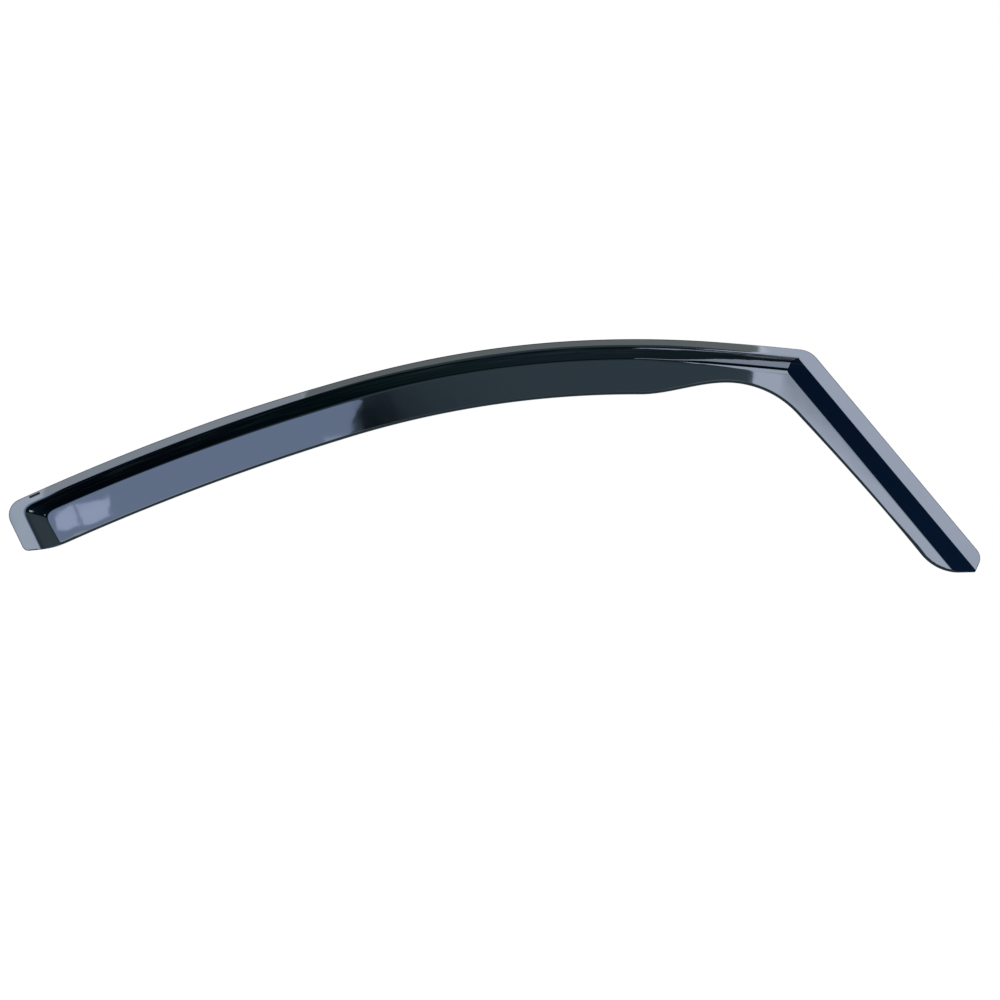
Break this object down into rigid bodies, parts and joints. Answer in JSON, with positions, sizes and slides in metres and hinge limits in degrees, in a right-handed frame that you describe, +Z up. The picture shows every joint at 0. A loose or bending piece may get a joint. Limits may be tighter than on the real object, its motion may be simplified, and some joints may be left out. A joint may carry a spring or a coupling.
{
  "type": "window rain deflector",
  "caption": "Car window rain deflector: a formed strip of dark smoked acrylic with a channel flange, a sloping step and an outer visor, arched along the roof and mitred down the pillar.",
  "frame": {"origin": "on the back of the flange, at its front corner, where the roof run meets the pillar run", "axes": "+X to the front of the car along the part's length, +Z up, +Y inboard, so the visor's outer face looks to -Y"},
  "size_m": [0.9219, 0.0167, 0.221],
  "materials": {
    "smoked_acrylic": "polished dark smoked acrylic sheet, near opaque"
  },
  "bodies": {
    "root": {"deflector": "smoked_acrylic"}
  },
  "joints": []
}
